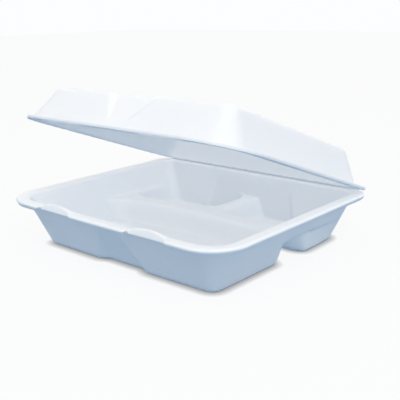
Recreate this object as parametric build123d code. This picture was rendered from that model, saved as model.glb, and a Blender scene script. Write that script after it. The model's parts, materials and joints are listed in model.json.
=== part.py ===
from build123d import *
import os
from math import atan, cos

# A foam clamshell food container: a formed tray with three compartments, and its hinged lid.
# The front faces -Y, the hinge line runs along X at the back, and the tray stands on Z = 0.
# All lengths are in millimetres and all angles in degrees.

# Overall sizes
rim_width = 240.0
rim_depth = 204.0
base_height = 42.5
lid_height = 32.0
front_bow = 1.5
lid_opening = 20.0

# Foam sheet and the rim that both halves share
sheet = 2.5
flange_width = 9.5
flange_thickness = 2.2
skirt_height = 4.5
skirt_thickness = 2.0
skirt_back_gap = 4.0
rim_front_radius = 30.0
lid_front_radius = 42.0
rim_back_radius = 11.0
rim_edge_radius = 1.6
mouth_radius = 4.0
lid_mouth_radius = 3.0

# Drafted walls
base_inset = 27.0
lid_inset = 25.5
base_back_flange = 4.0
base_back_inset = 6.5
base_back_radius = 9.0
lid_back_flange = 3.2
lid_back_inset = 5.2
lid_back_radius = 10.0
wall_rim_radius = 21.0
wall_end_radius = 9.0
floor_radius = 5.0
crown_radius = 7.0

# Dividers between the compartments, and the two small compartments behind the cross divider
ridge_level = 21.0
ridge_radius = 8.0
cross_divider_foot = 14.0
middle_divider_foot = 10.0
divider_slope_share = 0.32
divider_bow = 11.5
cup_depth = 48.9
cup_slope_share = 0.2
cup_ledge = 2.0
cup_edge_radius = 1.8
cup_rim_radius = 17.0
cup_floor_radius = 12.0

# Shallow recess in the middle of each front wall
recess_rim_half = 8.0
recess_end_half = 22.0
recess_depth = 4.5
recess_run = 5.0

# Locking tongues on the tray and their slots in the lid
tongue_spacing = 102.0
tongue_width = 38.0
tongue_height = 3.2
tongue_setback = 2.6
tongue_ramp = 2.6
tongue_top = 1.4
tongue_heel = 1.2
tongue_edge_radius = 0.5
skirt_notch_flare = 3.5
slot_clearance = 0.6

# Hinge
hinge_bead_radius = 1.2
hinge_clearance = 0.3
closed_gap = 0.3
overrun = 5.0

# Places worked out from the sizes above
front_y = -rim_depth / 2
hinge_y = rim_depth / 2
rim_z = base_height
lid_z = rim_z + closed_gap
hinge_z = rim_z + closed_gap / 2
hinge_length = rim_width - 2 * rim_back_radius
wall_base_z = rim_z - flange_thickness
wall_lid_z = lid_z + flange_thickness
lid_top_z = lid_z + lid_height
base_slope_share = (base_inset - flange_width) / wall_base_z
lid_slope_share = (lid_inset - flange_width) / (lid_top_z - wall_lid_z)
base_back_slope_share = (base_back_inset - base_back_flange) / wall_base_z
lid_back_slope_share = (lid_back_inset - lid_back_flange) / (lid_top_z - wall_lid_z)
base_wall = sheet / cos(atan(base_slope_share))
lid_wall = sheet / cos(atan(lid_slope_share))
divider_wall = sheet / cos(atan(divider_slope_share))
cup_wall = sheet / cos(atan(cup_slope_share))
ledge_level = ridge_level - sheet
ledge_inset = base_inset - ledge_level * base_slope_share + cup_ledge
ledge_back_inset = base_back_inset - ledge_level * base_back_slope_share + cup_ledge
cup_back_foot = hinge_y - ledge_back_inset - ledge_level * cup_slope_share
cross_divider_y = cup_back_foot - cup_depth - cross_divider_foot
hinge_axis = Axis((0, hinge_y, hinge_z), (1, 0, 0))


def rim_face(inset, front_radius, back_radius, level, back_inset):
    """The rim's outline moved inwards: a bowed front edge, straight sides and a straight back."""
    half = rim_width / 2 - inset
    front = front_y + inset
    corner = front + front_bow
    back = hinge_y - back_inset
    edges = [
        ThreePointArc((-half, corner), (0, front), (half, corner)),
        Line((half, corner), (half, back)),
        Line((half, back), (-half, back)),
        Line((-half, back), (-half, corner)),
    ]
    face = make_face(edges)
    face = fillet(face.vertices().sort_by(Axis.Y)[:2], front_radius)
    face = fillet(face.vertices().sort_by(Axis.Y)[-2:], back_radius)
    return Pos(0, 0, level) * face


def front_at(x):
    """The rim's front edge at a place along the width."""
    return front_y + front_bow * (2 * x / rim_width) ** 2


def base_wall_inset(level):
    """How far the tray's outer wall stands in from the rim's edge at a level."""
    return base_inset - level * base_slope_share


def base_back_wall_inset(level):
    """How far the tray's steep back wall stands in from the hinge line at a level."""
    return base_back_inset - level * base_back_slope_share


def lid_wall_inset(level):
    """How far the lid's outer wall stands in from the rim's front and side edges at a level."""
    return flange_width + (level - wall_lid_z) * lid_slope_share


def lid_back_wall_inset(level):
    """How far the lid's steep back wall stands in from the hinge line at a level."""
    return lid_back_flange + (level - wall_lid_z) * lid_back_slope_share


def wall_radius(share):
    """Corner radius of a wall, from its rim (0) to its floor or crown (1)."""
    return wall_rim_radius + (wall_end_radius - wall_rim_radius) * share


def drafted_section(inset, back_inset, radius, back_radius, skin, level):
    """Outline of drafted walls at a level."""
    return rim_face(inset + skin, radius - skin, back_radius - skin, level, back_inset + skin)


def recess_body(inset_at, skin, rim_level, end_level, past_end):
    """What the front recess takes out of a filled body: no depth at the rim, full depth at the end."""
    sections = []
    reach = (end_level + past_end - rim_level) / (end_level - rim_level)
    for level, share in ((rim_level, 0.0), (end_level + past_end, reach)):
        wall_y = front_y + inset_at(level) + skin
        half = recess_rim_half + (recess_end_half - recess_rim_half) * share + skin / 2
        inner = wall_y + recess_depth * share
        outer = wall_y - overrun
        flare = recess_run * (inner - outer) / recess_depth
        outline = Polyline(
            (-half, inner), (half, inner), (half + flare, outer), (-half - flare, outer), close=True
        )
        sections.append(Pos(0, 0, level) * make_face(outline))
    return loft(sections, ruled=True)


def divider_half(foot, level, skin):
    """Half the width of a divider at a level, from half its width at the bottom."""
    return foot - level * divider_slope_share + skin


def divider_line(x):
    """The middle of the bowed cross divider at a place along the width."""
    return cross_divider_y - divider_bow * (2 * x / rim_width) ** 2


def back_section(level, skin):
    """Everything behind the cross divider's front side at a level."""
    half = rim_width / 2
    reach = divider_half(cross_divider_foot, level, skin)
    side = divider_line(half) - reach
    edges = [
        ThreePointArc((-half, side), (0, divider_line(0) - reach), (half, side)),
        Line((half, side), (half, hinge_y)),
        Line((half, hinge_y), (-half, hinge_y)),
        Line((-half, hinge_y), (-half, side)),
    ]
    return Pos(0, 0, level) * make_face(edges)


def back_block(skin, level, radius):
    """What fills the back of the tray up to the ridges; its front is the cross divider's front side."""
    block = loft([back_section(-overrun, skin), back_section(level, skin)], ruled=True)
    crest = block.edges().group_by(Axis.Z)[-1].sort_by(Axis.Y)[0]
    return fillet(crest, radius)


def cup_inset(level):
    """How far a small compartment's outer wall stands in from the rim's edge at a level."""
    return ledge_inset + (ledge_level - level) * cup_slope_share


def cup_back_inset(level):
    """How far a small compartment's back wall stands in from the hinge line at a level."""
    return ledge_back_inset + (ledge_level - level) * cup_slope_share


def cup_section(side, level, radius, skin, divider_skin):
    """Outline of a small compartment at a level: its front follows the bowed cross divider."""
    inner = divider_half(middle_divider_foot, level, divider_skin)
    outer = rim_width / 2 - cup_inset(level) - skin
    back = hinge_y - cup_back_inset(level) - skin
    reach = divider_half(cross_divider_foot, level, divider_skin)
    fronts = [(side * x, divider_line(x) + reach) for x in (inner, (inner + outer) / 2, outer)]
    edges = [
        ThreePointArc(*fronts),
        Line(fronts[2], (side * outer, back)),
        Line((side * outer, back), (side * inner, back)),
        Line((side * inner, back), fronts[0]),
    ]
    face = make_face(edges)
    return Pos(0, 0, level) * fillet(face.vertices(), radius - skin)


def back_cup(side, skin, divider_skin, low, high):
    """One of the two small compartments behind the cross divider, as a filled body."""
    sections = [
        cup_section(side, low, cup_floor_radius, skin, divider_skin),
        cup_section(side, high, cup_rim_radius, skin, divider_skin),
    ]
    return loft(sections, ruled=True)


def rounded_floors(body, radius):
    """Rounds the edges of every flat floor under a body."""
    floors = body.faces().filter_by(Axis.Z).group_by(Axis.Z)[0]
    edges = [edge for floor in floors for edge in floor.outer_wire().edges()]
    return fillet(edges, radius)


def tray_body(skin, divider_skin, cup_skin, floor, top, ridge, crest_radius, bottom_radius):
    """The filled body under one skin of the tray: its outside, or the hollow inside it."""
    sections = []
    for level in (floor, top):
        inset = base_wall_inset(level)
        radius = wall_radius(1 - level / wall_base_z)
        back_inset = base_back_wall_inset(level)
        sections.append(drafted_section(inset, back_inset, radius, base_back_radius, skin, level))
    body = loft(sections, ruled=True)
    body -= back_block(divider_skin, ridge, crest_radius)
    for side in (-1, 1):
        body += back_cup(side, cup_skin, divider_skin, floor, ridge)
    body = rounded_floors(body, bottom_radius)
    return body - recess_body(base_wall_inset, skin, rim_z - skirt_height, floor, -overrun)


def soft_ridges(hollow):
    """Rounds the rims of the two back compartments in the tray's hollow."""
    ledge = hollow.faces().filter_by(Axis.Z).sort_by(lambda face: abs(face.center().Z - ridge_level))[0]
    edges = [edge for wire in ledge.inner_wires() for edge in wire.edges()]
    return fillet(edges, cup_edge_radius)


def rim_plate(front_radius, level, direction):
    """Flange plate on the open side of a half."""
    return extrude(rim_face(0, front_radius, rim_back_radius, level, 0), direction * flange_thickness)


def rim_skirt(level):
    """The tray's turned-down rim edge, along the front and the sides."""
    outer = rim_face(0, rim_front_radius, rim_back_radius, level, 0)
    inner = drafted_section(0, 0, rim_front_radius, rim_back_radius, skirt_thickness, level)
    skirt = extrude(outer - inner, -skirt_height)
    return skirt - Pos(0, hinge_y, level) * Box(rim_width, 2 * skirt_back_gap, 2 * skirt_height)


def soft_rim(rim, level):
    """Rounds the edge of a rim's sealing face along the front and the sides."""
    face_edges = rim.edges().filter_by_position(Axis.Z, level, level)
    front_and_sides = [edge for edge in face_edges if edge.center().Y < hinge_y - rim_back_radius]
    return fillet(front_and_sides, rim_edge_radius)


def soft_mouth(body, level, radius):
    """Rounds the inner edge of a half's flange, where the sheet turns down into the wall."""
    face = body.faces().filter_by(Axis.Z).sort_by(lambda each: abs(each.center().Z - level))[0]
    mouth = max(face.inner_wires(), key=lambda wire: wire.length)
    return fillet(mouth.edges(), radius)


def tongue(x):
    """Locking tongue: a lens seen from the front, a ramp seen from the side."""
    foot = rim_z - flange_thickness
    top = rim_z + tongue_height
    half = tongue_width / 2
    edges = [
        ThreePointArc((-half, rim_z), (0, top), (half, rim_z)),
        Line((half, rim_z), (half, foot)),
        Line((half, foot), (-half, foot)),
        Line((-half, foot), (-half, rim_z)),
    ]
    lens = extrude(Plane.XZ * make_face(edges), rim_depth, both=True)
    toe = front_at(x) + tongue_setback
    crest = toe + tongue_ramp
    heel = crest + tongue_top
    ramp = Polyline((toe, foot), (crest, top), (heel, top), (heel + tongue_heel, foot), close=True)
    ramp = extrude(Plane.YZ * make_face(ramp), rim_width / 2, both=True)
    body = lens & ramp
    return Pos(x, 0, 0) * fillet(body.edges().filter_by(GeomType.ELLIPSE), tongue_edge_radius)


def skirt_notch(x):
    """Opening in the tray's skirt and flange edge in front of a tongue, with slanting ends."""
    half = tongue_width / 2
    low = rim_z - skirt_height - overrun
    flare = skirt_notch_flare * (rim_z - low) / skirt_height
    outline = Polyline((-half, rim_z), (half, rim_z), (half + flare, low), (-half - flare, low), close=True)
    depth = front_at(x) + tongue_setback - front_y + overrun
    notch = extrude(Plane.XZ * make_face(outline), -depth)
    return Pos(x, front_y - overrun, 0) * notch


def tongue_slot(x):
    """Slot in the lid's flange that a tongue passes through."""
    length = tongue_width + 2 * slot_clearance
    depth = tongue_ramp + tongue_top + tongue_heel + 2 * slot_clearance
    middle = front_at(x) + tongue_setback + (tongue_ramp + tongue_top + tongue_heel) / 2
    face = SlotOverall(length, depth)
    return extrude(Pos(x, middle, lid_z) * face, flange_thickness, both=True)


def tray():
    """The formed tray: flange, walls, three compartments, tongues and the hinge bead."""
    outside = tray_body(0, 0, 0, 0, wall_base_z, ledge_level, ridge_radius - sheet, floor_radius)
    hollow = tray_body(
        base_wall, divider_wall, cup_wall, sheet, rim_z + overrun,
        ridge_level, ridge_radius, floor_radius - sheet,
    )
    hollow = soft_ridges(hollow)
    rim = rim_plate(rim_front_radius, rim_z, -1) + rim_skirt(rim_z)
    body = outside + soft_rim(rim, rim_z)
    for side in (-1, 1):
        body -= skirt_notch(side * tongue_spacing / 2)
    body = soft_mouth(body - hollow, rim_z, mouth_radius)
    for side in (-1, 1):
        body += tongue(side * tongue_spacing / 2)
    bead = Pos(0, hinge_y, hinge_z) * Rot(0, 90, 0) * Cylinder(hinge_bead_radius, hinge_length)
    return body + bead


def lid_body(skin, low, high):
    """The filled body under one skin of the lid."""
    sections = []
    for level in (low, high):
        radius = wall_radius((level - wall_lid_z) / (lid_top_z - wall_lid_z))
        inset = lid_wall_inset(level)
        back_inset = lid_back_wall_inset(level)
        sections.append(drafted_section(inset, back_inset, radius, lid_back_radius, skin, level))
    return loft(sections, ruled=True)


def crowned(body, radius):
    """Rounds the edges of the lid's top."""
    top = body.faces().filter_by(Axis.Z).sort_by(Axis.Z)[-1]
    return fillet(top.edges(), radius)


def closed_lid():
    """The lid as it lies on the tray."""
    outside = crowned(lid_body(0, wall_lid_z, lid_top_z), crown_radius)
    hollow_top = lid_top_z - sheet
    hollow = crowned(lid_body(lid_wall, lid_z - overrun, hollow_top), crown_radius - sheet)
    outside -= recess_body(lid_wall_inset, 0, lid_z + skirt_height, lid_top_z, overrun)
    hollow -= recess_body(lid_wall_inset, lid_wall, lid_z + skirt_height, hollow_top, overrun)
    rim = soft_rim(rim_plate(lid_front_radius, lid_z, 1), lid_z)
    body = soft_mouth(outside + rim - hollow, lid_z, lid_mouth_radius)
    for side in (-1, 1):
        body -= tongue_slot(side * tongue_spacing / 2)
    groove = Pos(0, hinge_y, hinge_z) * Rot(0, 90, 0)
    return body - groove * Cylinder(hinge_bead_radius + hinge_clearance, rim_width)


os.makedirs("parts", exist_ok=True)
export_step(tray(), "parts/base_tray.step")
export_step(closed_lid().rotate(hinge_axis, -lid_opening), "parts/lid.step")
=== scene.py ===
import bpy
import json
from math import atan, cos, pi, radians, sin, tan
from mathutils import Matrix, Vector


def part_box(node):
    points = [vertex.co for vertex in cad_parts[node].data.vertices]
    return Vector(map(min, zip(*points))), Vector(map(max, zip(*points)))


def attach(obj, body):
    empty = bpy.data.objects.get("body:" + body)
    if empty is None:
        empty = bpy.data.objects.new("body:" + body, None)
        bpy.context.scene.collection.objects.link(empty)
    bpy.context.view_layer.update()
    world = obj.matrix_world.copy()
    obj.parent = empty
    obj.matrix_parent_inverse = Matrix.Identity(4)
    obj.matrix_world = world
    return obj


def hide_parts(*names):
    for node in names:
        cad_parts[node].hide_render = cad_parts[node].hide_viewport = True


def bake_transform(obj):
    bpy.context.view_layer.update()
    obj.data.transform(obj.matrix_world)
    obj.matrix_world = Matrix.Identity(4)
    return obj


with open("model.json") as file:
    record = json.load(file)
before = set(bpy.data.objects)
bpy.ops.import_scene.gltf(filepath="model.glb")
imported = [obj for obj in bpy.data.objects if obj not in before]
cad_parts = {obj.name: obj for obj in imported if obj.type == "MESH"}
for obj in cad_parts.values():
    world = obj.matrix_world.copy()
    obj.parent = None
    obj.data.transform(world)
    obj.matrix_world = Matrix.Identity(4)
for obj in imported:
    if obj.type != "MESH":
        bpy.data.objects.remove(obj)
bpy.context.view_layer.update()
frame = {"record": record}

# A foam clamshell container: both halves are formed from one thin foam sheet that folds along the back.
# The front faces -Y, the fold runs along X and the tray stands on Z = 0. Lengths are in metres.

# Sizes that come from the frame
hinge = frame["record"]["behaviour"]["joints"][0]
hinge_y = hinge["pos_m"][1]
hinge_z = hinge["pos_m"][2]
lid_opening = radians(-hinge["range_deg"][0])
half_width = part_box("base_tray")[1][0]
half_depth = hinge_y

# Foam sheet and rim
sheet = 0.0023
closed_gap = 0.0003
rim_z = hinge_z - closed_gap / 2
front_bow = 0.0015
rim_back_radius = 0.011
rim_roll_radius = 0.0018
skirt_height = 0.0045
skirt_lean = 0.55
fold_setback = 0.001
fold_fade = 0.012
floor_corner_radius = 0.005
cut_edge_radius = 0.0005
cut_edge_segments = 2
cut_edge_angle = radians(50)

# Each half: how deep it is formed, and how its walls stand; pairs are values at a wall's top and foot
lid_height = 0.032
tray_form = {
    "name": "tray_sheet",
    "depth": rim_z - sheet,
    "wall_inset": 0.01105,
    "wall_slope": 0.434,
    "mouth_radius": 0.004,
    "end_radius": 0.0032,
    "front_radius": 0.030,
    "wall_radii": (0.0183, 0.0065),
    "back_wall_radii": (0.0075, 0.0090),
    "back_wall_insets": (0.0062, 0.0124),
    "skirt": skirt_height,
}
lid_form = {
    "name": "lid_sheet",
    "depth": lid_height - sheet,
    "wall_inset": 0.01093,
    "wall_slope": 0.537,
    "mouth_radius": 0.003,
    "end_radius": 0.0047,
    "front_radius": 0.042,
    "wall_radii": (0.0183, 0.0065),
    "back_wall_radii": (0.0075, 0.0065),
    "back_wall_insets": (0.0057, 0.0077),
    "skirt": 0.0,
}

# Locking tongues on the tray, and the slots in the lid that they pass through
tongue_spacing = 0.102
tongue_width = 0.038
tongue_height = 0.0034
tongue_setback = 0.0026
tongue_ramp = 0.0026
tongue_top = 0.0014
tongue_heel = 0.0018
tongue_softness = 0.0007
tongue_end_steepness = 6.0
notch_flare = 0.0035
notch_reach = 0.009
slot_clearance = 0.0006

# Dividers between the compartments
ridge_level = 0.021
ridge_softness = 0.012
ridge_foot_softness = 0.006
cross_divider_y = 0.028
cross_divider_foot = 0.014
middle_divider_foot = 0.010
divider_slope = 0.32
divider_bow = 0.0115
divider_corner_radius = 0.012
divider_corner_blend_share = 2.0
divider_flare = 0.020
divider_flare_share = 0.7
middle_divider_start_share = 1.5
cup_wall_spread = 0.0019
cup_wall_ledge = 0.0024
cup_edge = 0.0008
cup_fade_start = 0.058
cup_fade = 0.027

# Recess in each front wall, panel in the tray's back wall
recess_rim_half = 0.008
recess_end_half = 0.022
recess_depth = 0.0045
recess_run = 0.005
panel_top_drop = 0.0065
panel_top_half = 0.043
panel_end_half = 0.047
panel_wall_depth = 0.004
panel_run = 0.005
panel_softness = 0.0008
panel_fade = 0.014

# Blank: straight stretches of the rim, the floor's edge, and the distance under which two places are one
straight_x = 0.078
straight_y = 0.060
floor_inset = 0.034
same_place = 1e-9

# Blank: the spacing of its lines down the section, and the segments of its rounded places
skirt_spacing = 0.0008
flange_spacing = 0.00065
wall_share_step = 0.042
floor_edge_spacing = 0.0012
roll_segments = 6
mouth_segments = 8
floor_arc_segments = 6
corner_lines = 11

# Blank: where its lines lie closer together, and their spacing there
recess_zone = 0.018
recess_spacing = 0.0012
middle_spacing = 0.0016
tongue_line_spacing = 0.0019
outer_spacing = 0.002
divider_zone = (0.006, 0.050)
divider_spacing = 0.0011
front_spacing = 0.0033
lid_spacing = 0.003

# Blank: where its lines start and stop following the bowed front edge and cross divider
front_bow_zone = (0.040, 0.085)
divider_bow_start = (-0.045, 0.005)
divider_bow_stop = (0.048, 0.060)

# Fold along the back, where the sheet is pressed thin
fold_radius = 0.0014
fold_thickness = 0.0008
fold_lead = 0.0026
fold_wrap = radians(8)
fold_segments = 12
fold_spacing = 0.006

# Foam skin: shares of cells and clouds in its shade and relief, and the finish of the sheet and of the fold
cell_share = 0.35
cloud_share = 0.65
cell_relief_share = 0.7
cloud_relief_share = 0.3
cell_relief = 0.00025
cloud_detail = 4.0
foam_light = (0.950, 0.953, 0.958, 1)
foam_shade = (0.925, 0.930, 0.938, 1)
foam_bump = 0.25
foam_specular = 0.4
fold_light = (0.86, 0.87, 0.89, 1)
fold_shade = (0.80, 0.815, 0.84, 1)
fold_bump = 0.15
fold_specular = 0.5

# Light that the foam lets through
glow_radii = (0.9, 0.95, 1.0)
glow_depth = 0.0012
light_through = 0.72

# Light goes to and fro many times in a white hollow
hollow_bounces = 24

# Stage and light
floor_reach = 4.0
floor_white = (0.985, 0.985, 0.985, 1)
floor_lit = (0.9, 0.91, 0.93, 1)
floor_bounce = (0.14, 0.28, 0.45, 1)
# Painted contact shadow: close to the object the floor's white is painted darker, towards the contact
# shadow colour. Only shadow_share of the floor is lit by the lamps and keeps its real shadow.
contact_reach = 0.007
painted_contact_shadow = (0.10, 0.11, 0.13, 1)
shadow_share = 0.12
dome_strength = 0.76
dome_colour = (0.97, 0.985, 1.0, 1)
fill_strength = 0.9
fill_focus = 5.0
fill_azimuth = radians(58)
fill_elevation = radians(22)
key_power = 4.5
key_size = 0.6
key_distance = 1.6
key_azimuth = radians(48)
key_elevation = radians(63)

# Camera, as the photograph was taken
view_azimuth = radians(40.92)
view_elevation = radians(15.56)
view_roll = radians(-0.94)
view_distance = 0.58265
view_target = Vector((0.02158, -0.00555, 0.0425))
view_focal_pixels = 704.11
frame_pixels = 400
sensor_width = 36.0
nearest_seen = 0.01


def steps(start, end, spacing):
    """Evenly spaced values from start up to, but not including, end."""
    count = max(1, round(abs(end - start) / spacing))
    return [start + (end - start) * index / count for index in range(count)]


def blend_step(value, low, high):
    """0 below low, 1 above high, and a soft S between them."""
    share = min(1.0, max(0.0, (value - low) / (high - low)))
    return share * share * (3 - 2 * share)


def arc(centre, radius, start, end, count):
    """Points of an arc in a section, from one angle to another."""
    return [
        (
            centre[0] + radius * cos(start + (end - start) * index / count),
            centre[1] + radius * sin(start + (end - start) * index / count),
        )
        for index in range(count + 1)
    ]


def section(form):
    """A half's section from the rim's edge to its floor, as insets and heights of the food side."""
    slope = form["wall_slope"]
    lean = atan(slope)
    turn = pi / 2 - lean
    if form["skirt"]:
        roll_level = rim_z - rim_roll_radius
        skirt_levels = steps(rim_z - form["skirt"], roll_level, skirt_spacing)
        points = [(skirt_lean * (roll_level - level), level) for level in skirt_levels]
        points += arc((rim_roll_radius, roll_level), rim_roll_radius, pi, pi / 2, roll_segments)[:-1]
    else:
        points = [(inset, rim_z) for inset in steps(0.0, rim_roll_radius, skirt_spacing)]
    mouth_radius = form["mouth_radius"]
    mouth_start = form["wall_inset"] - mouth_radius * tan(turn / 2)
    flange = [rim_roll_radius] + steps(tongue_setback, mouth_start, flange_spacing)
    points += [(inset, rim_z) for inset in flange]
    mouth = arc((mouth_start, rim_z - mouth_radius), mouth_radius, pi / 2, lean, mouth_segments)
    end_radius = form["end_radius"]
    end_level = rim_z - form["depth"]
    end_start = wall_end(form) + end_radius * tan(turn / 2)
    end_centre = (end_start, end_level + end_radius)
    floor_arc = arc(end_centre, end_radius, pi + lean, 1.5 * pi, floor_arc_segments)
    wall = steps(0.0, 1.0, wall_share_step)[1:]
    top, foot = mouth[-1], floor_arc[0]
    points += mouth
    points += [(top[0] + (foot[0] - top[0]) * share, top[1] + (foot[1] - top[1]) * share) for share in wall]
    points += floor_arc
    points += [(inset, end_level) for inset in steps(end_start, floor_inset, floor_edge_spacing)[1:]]
    return points + [(floor_inset, end_level)]


def between(stops, place):
    """The value at a place, on straight lines through pairs of a place and a value."""
    for (place_a, value_a), (place_b, value_b) in zip(stops, stops[1:]):
        if place <= place_b:
            return value_a + (value_b - value_a) * (place - place_a) / (place_b - place_a)
    return stops[-1][1]


def wall_end(form):
    """Inset of a half's wall where it meets the floor."""
    return form["wall_inset"] + form["wall_slope"] * form["depth"]


def corner_radius(form, inset, front):
    """Plan radius of a half's corner at an inset from the rim's edge."""
    rim_radius = form["front_radius"] if front else rim_back_radius
    wall_top, wall_foot = form["wall_radii"] if front else form["back_wall_radii"]
    stops = [
        (0.0, rim_radius),
        (form["wall_inset"], wall_top),
        (wall_end(form), wall_foot),
        (floor_inset, floor_corner_radius),
    ]
    return between(stops, inset)


def back_reach(form, inset, y):
    """Moves a point of the back half towards the fold, where the back wall is steeper than the others."""
    if y <= 0:
        return y
    wall_top, wall_foot = form["back_wall_insets"]
    stops = [
        (0.0, 0.0),
        (rim_roll_radius, rim_roll_radius),
        (form["wall_inset"], wall_top),
        (wall_end(form), wall_foot),
        (floor_inset, wall_foot + floor_inset - wall_end(form)),
    ]
    inset = min(inset, floor_inset)
    return y * (half_depth - between(stops, inset)) / (half_depth - inset)


def corner_point(form, inset, share, front):
    """A point on the right-hand corner of a ring: share 0 is on the front or back, share 1 on the side."""
    radius = corner_radius(form, inset, front)
    across = half_width - inset
    along = half_depth - inset
    run_x = across - radius - straight_x
    run_y = along - radius - straight_y
    bend = radius * pi / 2
    travel = share * (run_x + bend + run_y)
    if travel <= run_x:
        point = (straight_x + travel, along)
    elif travel <= run_x + bend:
        turn = (travel - run_x) / radius
        point = (straight_x + run_x + radius * sin(turn), along - radius + radius * cos(turn))
    else:
        point = (across, along - radius - (travel - run_x - bend))
    return (point[0], -point[1] if front else point[1])


def grid_lines(stops):
    """Lines of the blank from the middle outwards, from pairs of a place and the spacing up to it."""
    lines = [0.0]
    for place, spacing in stops:
        lines += steps(lines[-1], place, spacing)[1:] + [place]
    return lines


def mirrored(lines):
    """Lines on both sides of the middle."""
    return [-value for value in reversed(lines[1:])] + lines


def cross_lines(form):
    """The blank's lines across its width; they stop at the ends of the tongues or slots."""
    reach = tongue_width / 2 + (0 if form["skirt"] else slot_clearance)
    inner = tongue_spacing / 2 - reach
    outer = tongue_spacing / 2 + reach
    stops = [
        (recess_zone, recess_spacing),
        (inner, middle_spacing),
        (outer, tongue_line_spacing),
        (straight_x, outer_spacing),
    ]
    return mirrored(grid_lines(stops))


def depth_lines(form):
    """The blank's lines along its depth; they are close together along the cross divider."""
    if not form["skirt"]:
        return steps(-straight_y, straight_y, lid_spacing) + [straight_y]
    divider_start, divider_end = divider_zone
    lines = steps(-straight_y, divider_start, front_spacing)
    lines += steps(divider_start, divider_end, divider_spacing)
    return lines + steps(divider_end, straight_y, outer_spacing) + [straight_y]


def bowed(x, y):
    """Moves a point of the blank so that its lines follow the bowed front edge and cross divider."""
    bow = (x / half_width) ** 2
    front = blend_step(-y, *front_bow_zone)
    divider = blend_step(y, *divider_bow_start) * (1 - blend_step(y, *divider_bow_stop))
    return y + bow * (front_bow * front - divider_bow * divider)


def blank_columns(xs, ys):
    """Names the blank's columns round the rim, anticlockwise from the front left."""
    corner = [index / (2 * corner_lines) for index in range(1, 2 * corner_lines)]
    columns = [("front", x) for x in xs]
    columns += [("front right", share) for share in corner]
    columns += [("right", y) for y in ys]
    columns += [("back right", 1 - share) for share in corner]
    columns += [("back", x) for x in reversed(xs)]
    columns += [("back left", share) for share in corner]
    columns += [("left", y) for y in reversed(ys)]
    columns += [("front left", 1 - share) for share in corner]
    return columns


def ring_point(form, column, inset):
    """Plan place of a column at an inset from the rim's edge."""
    side, place = column
    if side == "front":
        return (place, inset - half_depth)
    if side == "back":
        return (place, half_depth - inset)
    if side == "right":
        return (half_width - inset, place)
    if side == "left":
        return (inset - half_width, place)
    x, y = corner_point(form, inset, place, side.startswith("front"))
    return (x if side.endswith("right") else -x, y)


def near_fold(form, column):
    """1 along the fold at the back, where the rim isn't rolled down, and 0 away from it."""
    return blend_step(ring_point(form, column, 0.0)[1], half_depth - fold_fade, half_depth - fold_setback)


def rim_place(form, column, inset, level):
    """Section values of a column: near the fold the rolled rim is laid out flat."""
    flat = near_fold(form, column)
    if inset >= rim_roll_radius:
        return inset, level
    if form["skirt"]:
        along = (rim_z - level) / form["skirt"]
    else:
        along = 1 - inset / rim_roll_radius
    flat_inset = rim_roll_radius + (fold_setback - rim_roll_radius) * along
    return inset + (flat_inset - inset) * flat, level + (rim_z - level) * flat


def skirt_notch_shift(x, drop):
    """How far the skirt's end beside a tongue slants away from it."""
    distance = abs(abs(x) - tongue_spacing / 2) - tongue_width / 2
    away = 1 if abs(x) > tongue_spacing / 2 else -1
    side = 1 if x > 0 else -1
    fade = max(0.0, 1 - max(0.0, distance) / notch_reach)
    return side * away * notch_flare * drop / skirt_height * fade


def floor_point(form, u, v, x, y):
    """A point of the floor inside the rings; u and v are shares across its corner blocks."""
    if u == 0 or v == 0:
        return (x, y)
    front = y < 0
    reach = max(abs(u), abs(v))
    share = abs(u) / abs(v) / 2 if abs(v) >= abs(u) else 1 - abs(v) / abs(u) / 2
    edge = corner_point(form, floor_inset, share, front)
    start_y = -straight_y if front else straight_y
    side = 1 if u > 0 else -1
    return (
        side * (straight_x + (edge[0] - straight_x) * reach),
        start_y + (edge[1] - start_y) * reach,
    )


def with_corner_lines(lines, straight, edge):
    """Adds the lines of the corner blocks; each line is a share across its block and a place."""
    shares = [index / corner_lines for index in range(1, corner_lines + 1)]
    low = [(-share, -straight - (edge - straight) * share) for share in reversed(shares)]
    high = [(share, straight + (edge - straight) * share) for share in shares]
    return low + [(0, value) for value in lines] + high


def cut_out(form, column, inset_a, inset_b):
    """True where the blank is cut away: in front of a tongue, or through a slot."""
    side, x = column
    if side != "front":
        return False
    reach = tongue_width / 2
    if form["skirt"]:
        return abs(abs(x) - tongue_spacing / 2) < reach and inset_b <= tongue_setback + same_place
    low = tongue_setback - slot_clearance
    high = tongue_setback + tongue_ramp + tongue_top + tongue_heel + slot_clearance
    inside = abs(abs(x) - tongue_spacing / 2) < reach + slot_clearance
    return inside and low < (inset_a + inset_b) / 2 < high


def ring_points(form, columns, rings):
    """The blank's points from the rim to the floor: place, inset and direction out of the wall."""
    points = []
    for inset, level in rings[:-1]:
        for column in columns:
            place, height = rim_place(form, column, inset, level)
            x, y = ring_point(form, column, place)
            outer = ring_point(form, column, place - sheet)
            drop = rim_z - height if inset < rim_roll_radius else 0.0
            if column[0] == "front" and form["skirt"]:
                x += skirt_notch_shift(x, drop)
            outward = Vector((outer[0] - x, outer[1] - y, 0)).normalized()
            points.append(((x, back_reach(form, place, bowed(x, y)), height), place, outward))
    return points


def floor_points(form, grid_x, grid_y, level):
    """The blank's points over the floor, with the same values as the points of the rings."""
    directions = ((0, -1, 0), (1, 0, 0), (0, 1, 0), (-1, 0, 0))
    points = []
    for v, line_y in grid_y:
        for u, line_x in grid_x:
            x, y = floor_point(form, u, v, line_x, line_y)
            gaps = (half_depth + y, half_width - x, half_depth - y, half_width + x)
            outward = directions[gaps.index(min(gaps))]
            points.append(((x, back_reach(form, floor_inset, bowed(x, y)), level), min(gaps), outward))
    return points


def floor_edge(grid):
    """The floor grid's points along its edge, in the order of the blank's columns."""
    edge = grid[0][corner_lines:]
    edge += [row[-1] for row in grid[1:]]
    edge += grid[-1][-2::-1]
    edge += [row[0] for row in grid[-2::-1]]
    return edge + grid[0][1:corner_lines]


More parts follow.
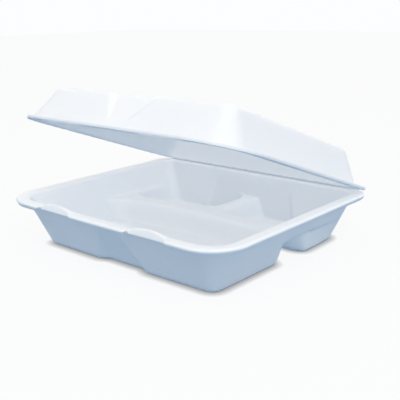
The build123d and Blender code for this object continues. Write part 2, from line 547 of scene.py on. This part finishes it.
def ring_faces(form, columns, rings, edge):
    """Faces between neighbouring rings, of which the last is the floor's edge."""
    count = len(columns)
    faces = []
    for k in range(len(rings) - 1):
        inner = edge if k + 2 == len(rings) else range((k + 1) * count, (k + 2) * count)
        for c, (side, place) in enumerate(columns):
            following = (c + 1) % count
            next_side, next_place = columns[following]
            middle = (side, (place + next_place) / 2)
            if side == next_side and cut_out(form, middle, rings[k][0], rings[k + 1][0]):
                continue
            faces.append((k * count + c, k * count + following, inner[following], inner[c]))
    return faces


def floor_faces(grid):
    """Faces of the floor's grid."""
    return [
        (low[i], low[i + 1], high[i + 1], high[i])
        for low, high in zip(grid, grid[1:])
        for i in range(len(low) - 1)
    ]


def sheet_blank(form):
    """The swept sheet of a half, before dividers, recess, panel and tongues are pressed into it."""
    xs = cross_lines(form)
    ys = depth_lines(form)
    columns = blank_columns(xs, ys)
    rings = section(form)
    points = ring_points(form, columns, rings)
    grid_x = with_corner_lines(xs, straight_x, half_width - floor_inset)
    grid_y = with_corner_lines(ys, straight_y, half_depth - floor_inset)
    start, wide = len(points), len(grid_x)
    grid = [[start + j * wide + i for i in range(wide)] for j in range(len(grid_y))]
    points += floor_points(form, grid_x, grid_y, rings[-1][1])
    faces = ring_faces(form, columns, rings, floor_edge(grid)) + floor_faces(grid)
    places, insets, outwards = [list(values) for values in zip(*points)]
    mesh = bpy.data.meshes.new(form["name"])
    mesh.from_pydata(places, [], faces)
    inset_attribute = mesh.attributes.new("inset", "FLOAT", "POINT")
    inset_attribute.data.foreach_set("value", insets)
    outward_attribute = mesh.attributes.new("outward", "FLOAT_VECTOR", "POINT")
    outward_attribute.data.foreach_set("vector", [part for vector in outwards for part in vector])
    return mesh


class Field:
    """A number that varies over a sheet; sums, products and limits of it become nodes of a tree."""

    def __init__(self, tree, socket):
        self.tree = tree
        self.socket = socket

    def combined(self, operation, *others):
        node = self.tree.nodes.new("ShaderNodeMath")
        node.operation = operation
        self.tree.links.new(self.socket, node.inputs[0])
        for index, other in enumerate(others, start=1):
            if isinstance(other, Field):
                self.tree.links.new(other.socket, node.inputs[index])
            else:
                node.inputs[index].default_value = other
        return Field(self.tree, node.outputs[0])

    def __add__(self, other):
        return self.combined("ADD", other)

    def __sub__(self, other):
        return self.combined("SUBTRACT", other)

    def __mul__(self, other):
        return self.combined("MULTIPLY", other)

    def __truediv__(self, other):
        return self.combined("DIVIDE", other)

    def size(self):
        return self.combined("ABSOLUTE")

    def lowest(self, other, softness=None):
        if softness is None:
            return self.combined("MINIMUM", other)
        return self.combined("SMOOTH_MIN", other, softness)

    def highest(self, other, softness=None):
        if softness is None:
            return self.combined("MAXIMUM", other)
        return self.combined("SMOOTH_MAX", other, softness)

    def share(self):
        """The number kept between 0 and 1."""
        field = self * 1.0
        field.socket.node.use_clamp = True
        return field

    def rest(self):
        """What is left of 1."""
        return self * -1.0 + 1.0


def divider_height(size, x, y, inset):
    """Height of the dividers' food side: a bowed cross divider, and a straight one behind it."""
    across = x / size["Half Width"]
    past = y - (size["Cross Divider Place"] - across * across * size["Divider Bow"])
    beside_cross = past.size() - (size["Cross Divider Foot"] - size["Middle Divider Foot"])
    beside_middle = x.size().highest(size["Cross Divider Foot"] * middle_divider_start_share - past)
    near_wall = ((inset - size["Wall Middle"]) / size["Divider Flare"]).share().rest()
    flare = near_wall * near_wall * size["Divider Flare"] * divider_flare_share
    corner = size["Divider Corner"] * divider_corner_blend_share
    beside = beside_cross.lowest(beside_middle, corner) - flare
    flank = (size["Middle Divider Foot"] + size["Sheet"] - beside) / size["Divider Slope"]
    return (flank.lowest(size["Ridge Level"], size["Ridge Softness"]), past)


def panel_depth(size, name, x, z):
    """How deep a tapered panel stands in a wall: nothing at its top, its full depth at the floor."""
    share = ((size[name + " Top"] - z) / (size[name + " Top"] - size["Floor Level"])).share()
    half = size[name + " Top Half"] + (size[name + " End Half"] - size[name + " Top Half"]) * share
    slope = size[name + " Depth"] / size[name + " Run"]
    riser = (half + size[name + " Run"] * share - x.size()) * slope
    return (size[name + " Depth"] * share).lowest(riser, panel_softness).highest(0.0)


def cup_spread(size, y, z, past):
    """How far a small compartment's side wall stands outside the tray's wall: a ledge, then steeper."""
    share = (z - size["Floor Level"]) / (size["Ridge Level"] - size["Floor Level"])
    spread = size["Cup Spread"] - share * (size["Cup Spread"] + size["Cup Ledge"])
    below = ((size["Ridge Level"] - z) / cup_edge).share()
    zone = (past / size["Cross Divider Foot"]).share() * ((y - cup_fade_start) / cup_fade).share().rest()
    return spread * below * zone


def tongue_rise(size, x, inset):
    """Height of a locking tongue over the rim: a lens along the rim, a ramp and a heel across it."""
    away = (x.size() - size["Tongue Spacing"] * 0.5) / (size["Tongue Width"] * 0.5)
    lens = (away * away).rest().highest(0.0)
    height = size["Tongue Height"]
    out = inset - size["Tongue Setback"]
    ramp = out / size["Tongue Ramp"] * (height + size["Sheet"]) - size["Sheet"]
    heel_end = size["Tongue Ramp"] + size["Tongue Top"] + size["Tongue Heel"]
    heel = ((heel_end - out) / size["Tongue Heel"] * height).highest(0.0)
    rise = (height * lens).lowest(heel, tongue_softness).lowest(ramp, tongue_softness)
    return rise * (lens * tongue_end_steepness).share()


def press_tree(size_names):
    """Geometry nodes that press dividers, panels and tongues into a half's swept sheet."""
    tree = bpy.data.node_groups.new("press_sheet", "GeometryNodeTree")
    tree.interface.new_socket("Geometry", in_out="INPUT", socket_type="NodeSocketGeometry")
    for name in size_names:
        tree.interface.new_socket(name, in_out="INPUT", socket_type="NodeSocketFloat")
    tree.interface.new_socket("Material", in_out="INPUT", socket_type="NodeSocketMaterial")
    tree.interface.new_socket("Geometry", in_out="OUTPUT", socket_type="NodeSocketGeometry")
    add = tree.nodes.new
    link = tree.links.new
    inputs = add("NodeGroupInput")
    size = {name: Field(tree, inputs.outputs[name]) for name in size_names}
    place = add("ShaderNodeSeparateXYZ")
    link(add("GeometryNodeInputPosition").outputs[0], place.inputs[0])
    x, y, z = [Field(tree, socket) for socket in place.outputs]
    inset_node = add("GeometryNodeInputNamedAttribute")
    inset_node.data_type = "FLOAT"
    inset_node.inputs["Name"].default_value = "inset"
    inset = Field(tree, inset_node.outputs["Attribute"])
    outward_node = add("GeometryNodeInputNamedAttribute")
    outward_node.data_type = "FLOAT_VECTOR"
    outward_node.inputs["Name"].default_value = "outward"
    outward = add("ShaderNodeSeparateXYZ")
    link(outward_node.outputs["Attribute"], outward.inputs[0])
    out_x, out_y = [Field(tree, socket) for socket in outward.outputs][:2]
    on_wall = ((inset - size["Wall End"]) / panel_fade).share().rest()
    on_front = (out_y * -1.0).share() * on_wall
    on_back = out_y.share() * on_wall
    on_flange = ((size["Tongue End"] - inset) / panel_softness).share() * (out_y * -1.0).share()
    ridge, past = divider_height(size, x, y, inset)
    new_x = x + out_x * cup_spread(size, y, z, past) * on_wall
    recess = panel_depth(size, "Recess", x, z) * on_front
    panel = panel_depth(size, "Back Panel", x, z) * on_back
    new_y = y + recess + panel
    raised = z.highest(ridge, size["Foot Softness"])
    new_z = raised + tongue_rise(size, x, inset) * on_flange
    place_new = add("ShaderNodeCombineXYZ")
    for field, socket in zip((new_x, new_y, new_z), place_new.inputs):
        link(field.socket, socket)
    pressed = add("GeometryNodeSetPosition")
    smooth = add("GeometryNodeSetShadeSmooth")
    realized = add("GeometryNodeRealizeInstances")
    finished = add("GeometryNodeSetMaterial")
    output = add("NodeGroupOutput")
    link(inputs.outputs["Geometry"], pressed.inputs["Geometry"])
    link(place_new.outputs[0], pressed.inputs["Position"])
    link(pressed.outputs[0], smooth.inputs["Geometry"])
    link(smooth.outputs[0], realized.inputs["Geometry"])
    link(realized.outputs[0], finished.inputs["Geometry"])
    link(inputs.outputs["Material"], finished.inputs["Material"])
    link(finished.outputs[0], output.inputs[0])
    return tree


def press_sizes(form):
    """Values of the pressing tree's inputs for one half."""
    floor_level = rim_z - form["depth"]
    with_dividers = form["skirt"] > 0
    return {
        "Half Width": half_width,
        "Sheet": sheet,
        "Floor Level": floor_level,
        "Wall Middle": (form["wall_inset"] + wall_end(form)) / 2,
        "Wall End": wall_end(form) + form["end_radius"],
        "Ridge Level": ridge_level if with_dividers else floor_level - sheet,
        "Ridge Softness": ridge_softness,
        "Foot Softness": ridge_foot_softness if with_dividers else panel_softness,
        "Cross Divider Place": cross_divider_y,
        "Cross Divider Foot": cross_divider_foot,
        "Middle Divider Foot": middle_divider_foot,
        "Divider Slope": divider_slope,
        "Divider Bow": divider_bow,
        "Divider Corner": divider_corner_radius,
        "Divider Flare": divider_flare,
        "Cup Spread": cup_wall_spread if with_dividers else 0.0,
        "Cup Ledge": cup_wall_ledge if with_dividers else 0.0,
        "Recess Top": rim_z - skirt_height,
        "Recess Top Half": recess_rim_half,
        "Recess End Half": recess_end_half,
        "Recess Depth": recess_depth,
        "Recess Run": recess_run,
        "Back Panel Top": rim_z - panel_top_drop,
        "Back Panel Top Half": panel_top_half,
        "Back Panel End Half": panel_end_half,
        "Back Panel Depth": panel_wall_depth if with_dividers else 0.0,
        "Back Panel Run": panel_run,
        "Tongue Spacing": tongue_spacing,
        "Tongue Width": tongue_width,
        "Tongue Height": tongue_height if with_dividers else 0.0,
        "Tongue Setback": tongue_setback,
        "Tongue Ramp": tongue_ramp,
        "Tongue Top": tongue_top,
        "Tongue Heel": tongue_heel,
        "Tongue End": (tongue_setback + tongue_ramp + tongue_top + tongue_heel) if with_dividers else 0.0,
    }


def finished_mesh(piece):
    """The plain mesh of a piece with its modifiers worked in."""
    depsgraph = bpy.context.evaluated_depsgraph_get()
    mesh = bpy.data.meshes.new_from_object(piece.evaluated_get(depsgraph), depsgraph=depsgraph)
    piece.modifiers.clear()
    piece.data = mesh
    mesh.name = piece.name
    return mesh


def formed_half(form, tree, material):
    """One half of the container, formed from its blank and given the sheet's thickness."""
    piece = bpy.data.objects.new(form["name"], sheet_blank(form))
    bpy.context.scene.collection.objects.link(piece)
    press = piece.modifiers.new("press", "NODES")
    press.node_group = tree
    sizes = press_sizes(form)
    sizes["Material"] = material
    for item in tree.interface.items_tree:
        if item.in_out == "INPUT" and item.name in sizes:
            press[item.identifier] = sizes[item.name]
    wall = piece.modifiers.new("sheet", "SOLIDIFY")
    wall.thickness = sheet
    wall.offset = -1
    wall.use_even_offset = True
    wall.use_quality_normals = True
    edge = piece.modifiers.new("cut_edges", "BEVEL")
    edge.width = cut_edge_radius
    edge.segments = cut_edge_segments
    edge.limit_method = "ANGLE"
    edge.angle_limit = cut_edge_angle
    finished_mesh(piece)
    return piece


def folded_over(mesh):
    """Turns the lid from lying open behind the tray to its place at rest."""
    to_hinge = Matrix.Translation((0, hinge_y, hinge_z))
    half_turn = Matrix.Rotation(pi, 4, "Z")
    fold = Matrix.Rotation(pi - lid_opening, 4, "X")
    mesh.transform(to_hinge @ fold @ half_turn @ to_hinge.inverted())


def group_socket(tree, name, kind, way="INPUT"):
    """Adds a named socket to a node group."""
    return tree.interface.new_socket(name, in_out=way, socket_type="NodeSocket" + kind)


def foam_cells_group():
    """Shader group for foam skin: fine closed cells and faint clouds."""
    tree = bpy.data.node_groups.new("foam_cells", "ShaderNodeTree")
    group_socket(tree, "Vector", "Vector")
    for name in ("Cell Scale", "Cloud Scale", "Smooth Roughness", "Dull Roughness"):
        group_socket(tree, name, "Float")
    for name in ("Light Colour", "Shade Colour"):
        group_socket(tree, name, "Color")
    group_socket(tree, "Colour", "Color", "OUTPUT")
    group_socket(tree, "Roughness", "Float", "OUTPUT")
    group_socket(tree, "Height", "Float", "OUTPUT")
    add = tree.nodes.new
    link = tree.links.new
    inputs = add("NodeGroupInput")
    output = add("NodeGroupOutput")
    cells = add("ShaderNodeTexVoronoi")
    cells.feature = "F1"
    clouds = add("ShaderNodeTexNoise")
    clouds.inputs["Detail"].default_value = cloud_detail
    for texture, scale in ((cells, "Cell Scale"), (clouds, "Cloud Scale")):
        link(inputs.outputs["Vector"], texture.inputs["Vector"])
        link(inputs.outputs[scale], texture.inputs["Scale"])
    cell = Field(tree, cells.outputs["Distance"])
    cloud = Field(tree, clouds.outputs["Fac"])
    shade = (cloud * cloud_share + cell * cell_share).share()
    colour = add("ShaderNodeMix")
    colour.data_type = "RGBA"
    link(shade.socket, colour.inputs["Factor"])
    link(inputs.outputs["Light Colour"], colour.inputs["A"])
    link(inputs.outputs["Shade Colour"], colour.inputs["B"])
    dull = add("ShaderNodeMapRange")
    link(shade.socket, dull.inputs["Value"])
    link(inputs.outputs["Smooth Roughness"], dull.inputs["To Min"])
    link(inputs.outputs["Dull Roughness"], dull.inputs["To Max"])
    link(colour.outputs["Result"], output.inputs["Colour"])
    link(dull.outputs["Result"], output.inputs["Roughness"])
    link((cell * cell_relief_share + cloud * cloud_relief_share).socket, output.inputs["Height"])
    return tree


def foam_material(name, cells, values, bump_strength, specular):
    """A foam finish: the cell group's colour, roughness and relief on a satin white skin."""
    material = bpy.data.materials.new(name)
    material.use_nodes = True
    tree = material.node_tree
    shader = tree.nodes["Principled BSDF"]
    shader.inputs["Specular IOR Level"].default_value = specular
    shader.inputs["Subsurface Weight"].default_value = 1.0
    shader.inputs["Subsurface Radius"].default_value = glow_radii
    shader.inputs["Subsurface Scale"].default_value = glow_depth
    group = tree.nodes.new("ShaderNodeGroup")
    group.node_tree = cells
    for socket, value in values.items():
        group.inputs[socket].default_value = value
    place = tree.nodes.new("ShaderNodeTexCoord")
    bump = tree.nodes.new("ShaderNodeBump")
    bump.inputs["Strength"].default_value = bump_strength
    bump.inputs["Distance"].default_value = cell_relief
    link = tree.links.new
    link(place.outputs["Object"], group.inputs["Vector"])
    link(group.outputs["Colour"], shader.inputs["Base Color"])
    link(group.outputs["Roughness"], shader.inputs["Roughness"])
    link(group.outputs["Height"], bump.inputs["Height"])
    link(bump.outputs["Normal"], shader.inputs["Normal"])
    path = tree.nodes.new("ShaderNodeLightPath")
    let_through = tree.nodes.new("ShaderNodeBsdfTransparent")
    surface = tree.nodes.new("ShaderNodeMixShader")
    lamp_light = Field(tree, path.outputs["Is Shadow Ray"])
    soft_light = Field(tree, path.outputs["Is Diffuse Ray"])
    link((lamp_light.highest(soft_light) * light_through).socket, surface.inputs["Fac"])
    link(shader.outputs[0], surface.inputs[1])
    link(let_through.outputs[0], surface.inputs[2])
    link(surface.outputs[0], tree.nodes["Material Output"].inputs["Surface"])
    return material


def foam_skin(cells):
    """The sheet's smooth white skin."""
    values = {
        "Cell Scale": 1400.0,
        "Cloud Scale": 45.0,
        "Smooth Roughness": 0.42,
        "Dull Roughness": 0.58,
        "Light Colour": foam_light,
        "Shade Colour": foam_shade,
    }
    return foam_material("foam_skin", cells, values, foam_bump, foam_specular)


def pressed_fold(cells):
    """The fold line, where the foam is pressed thin: denser, smoother and a little darker."""
    values = {
        "Cell Scale": 2200.0,
        "Cloud Scale": 120.0,
        "Smooth Roughness": 0.3,
        "Dull Roughness": 0.45,
        "Light Colour": fold_light,
        "Shade Colour": fold_shade,
    }
    return foam_material("pressed_fold", cells, values, fold_bump, fold_specular)


def fold_path():
    """Section of the fold at rest: out of the tray's back edge, round the hinge line, into the lid's."""
    start = -pi / 2 - fold_wrap
    end = pi / 2 + fold_wrap - lid_opening
    bend = arc((0, 0), fold_radius, start, end, fold_segments)
    lead = (-fold_lead, -fold_radius)
    turn = Matrix.Rotation(-lid_opening, 2)
    into_lid = turn @ Vector((-fold_lead, fold_radius))
    return [lead] + bend + [tuple(into_lid)]


def hinge_fold(material):
    """The thin web along the back that joins both halves; the real one bends when the lid opens, but this
    piece keeps its shape at rest.
    """
    path = fold_path()
    length = half_width - rim_back_radius
    places = steps(-length, length, fold_spacing) + [length]
    vertices = [(x, hinge_y + y, hinge_z + z) for x in places for y, z in path]
    count = len(path)
    faces = []
    for row in range(len(places) - 1):
        for index in range(count - 1):
            first = row * count + index
            faces.append((first, first + 1, first + count + 1, first + count))
    mesh = bpy.data.meshes.new("hinge_fold")
    mesh.from_pydata(vertices, [], faces)
    mesh.materials.append(material)
    mesh.polygons.foreach_set("use_smooth", [True] * len(mesh.polygons))
    piece = bpy.data.objects.new("hinge_fold", mesh)
    bpy.context.scene.collection.objects.link(piece)
    web = piece.modifiers.new("web", "SOLIDIFY")
    web.thickness = fold_thickness
    web.offset = 0
    finished_mesh(piece)
    return piece


def rays_that_see_white(tree):
    """1 for camera, glossy and transmission rays, which see the plain white of the stage."""
    path = tree.nodes.new("ShaderNodeLightPath")
    seen = Field(tree, path.outputs["Is Camera Ray"])
    seen = seen.highest(Field(tree, path.outputs["Is Glossy Ray"]))
    return seen.highest(Field(tree, path.outputs["Is Transmission Ray"]))


def studio_floor():
    """A plain white floor with a painted contact shadow close under the object and a faint real soft
    shadow; it sends a cool, dim light back up.
    """
    mesh = bpy.data.meshes.new("floor")
    reach = floor_reach
    corners = [(-reach, -reach, 0), (reach, -reach, 0), (reach, reach, 0), (-reach, reach, 0)]
    mesh.from_pydata(corners, [], [(0, 1, 2, 3)])
    floor = bpy.data.objects.new("floor", mesh)
    bpy.context.scene.collection.objects.link(floor)
    material = bpy.data.materials.new("studio_floor")
    material.use_nodes = True
    mesh.materials.append(material)
    tree = material.node_tree
    tree.nodes.clear()
    add = tree.nodes.new
    link = tree.links.new
    # Painted contact shadow: ambient occlusion darkens the white that the floor shows close under the
    # object.
    contact = add("ShaderNodeAmbientOcclusion")
    contact.inputs["Distance"].default_value = contact_reach
    shade = add("ShaderNodeMix")
    shade.data_type = "RGBA"
    shade.inputs["A"].default_value = painted_contact_shadow
    shade.inputs["B"].default_value = floor_white
    link(contact.outputs["AO"], shade.inputs["Factor"])
    white = add("ShaderNodeEmission")
    white.inputs["Strength"].default_value = 1.0
    link(shade.outputs["Result"], white.inputs["Color"])
    lit = add("ShaderNodeBsdfDiffuse")
    lit.inputs["Color"].default_value = floor_lit
    bounce = add("ShaderNodeEmission")
    bounce.inputs["Color"].default_value = floor_bounce
    seen = add("ShaderNodeMixShader")
    seen.inputs["Fac"].default_value = shadow_share
    link(white.outputs[0], seen.inputs[1])
    link(lit.outputs[0], seen.inputs[2])
    surface = add("ShaderNodeMixShader")
    link(rays_that_see_white(tree).socket, surface.inputs["Fac"])
    link(bounce.outputs[0], surface.inputs[1])
    link(seen.outputs[0], surface.inputs[2])
    link(surface.outputs[0], add("ShaderNodeOutputMaterial").inputs["Surface"])


def direction(azimuth, elevation):
    """Unit vector from the object; azimuth 0 is the front, and grows towards the right."""
    return Vector((
        sin(azimuth) * cos(elevation),
        -cos(azimuth) * cos(elevation),
        sin(elevation),
    ))


def key_lamp():
    """A soft square lamp high over the viewer's side."""
    data = bpy.data.lights.new("key_lamp", "AREA")
    data.energy = key_power
    data.size = key_size
    lamp = bpy.data.objects.new("key_lamp", data)
    back = direction(key_azimuth, key_elevation)
    lamp.location = back * key_distance
    lamp.rotation_euler = back.to_track_quat("Z", "Y").to_euler()
    bpy.context.scene.collection.objects.link(lamp)


def studio_light():
    """A soft white dome, brighter over the viewer's side; its background is plain white."""
    world = bpy.data.worlds.new("studio")
    world.use_nodes = True
    bpy.context.scene.world = world
    tree = world.node_tree
    add = tree.nodes.new
    link = tree.links.new
    background = tree.nodes["Background"]
    place = add("ShaderNodeTexCoord")
    towards = add("ShaderNodeVectorMath")
    towards.operation = "DOT_PRODUCT"
    towards.inputs[1].default_value = direction(fill_azimuth, fill_elevation)
    link(place.outputs["Generated"], towards.inputs[0])
    facing = Field(tree, towards.outputs["Value"]).highest(0.0)
    dome = facing.combined("POWER", fill_focus) * fill_strength + dome_strength
    strength = dome * rays_that_see_white(tree).rest() + rays_that_see_white(tree)
    link(strength.socket, background.inputs["Strength"])
    background.inputs["Color"].default_value = dome_colour


def photo_camera():
    """The camera at the photograph's place, angle and focal length."""
    back = direction(view_azimuth, view_elevation)
    right = (-back).cross(Vector((0, 0, 1))).normalized()
    up = right.cross(-back)
    right, up = (
        cos(view_roll) * right + sin(view_roll) * up,
        cos(view_roll) * up - sin(view_roll) * right,
    )
    data = bpy.data.cameras.new("photo_camera")
    data.sensor_width = sensor_width
    data.lens = sensor_width * view_focal_pixels / frame_pixels
    data.clip_start = nearest_seen
    camera = bpy.data.objects.new("photo_camera", data)
    turn = Matrix((right, up, back)).transposed()
    camera.matrix_world = Matrix.Translation(view_target + back * view_distance) @ turn.to_4x4()
    bpy.context.scene.collection.objects.link(camera)
    bpy.context.scene.camera = camera


cells = foam_cells_group()
skin = foam_skin(cells)
tree = press_tree(list(press_sizes(tray_form)))
tray_piece = formed_half(tray_form, tree, skin)
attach(tray_piece, "tray_body")
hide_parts("base_tray")
lid_piece = formed_half(lid_form, tree, skin)
folded_over(lid_piece.data)
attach(lid_piece, "lid_body")
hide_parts("lid")
fold_piece = hinge_fold(pressed_fold(cells))
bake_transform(fold_piece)
studio_floor()
studio_light()
key_lamp()
photo_camera()
scene = bpy.context.scene
scene.view_settings.view_transform = "Standard"
scene.cycles.max_bounces = hollow_bounces
scene.cycles.diffuse_bounces = hollow_bounces
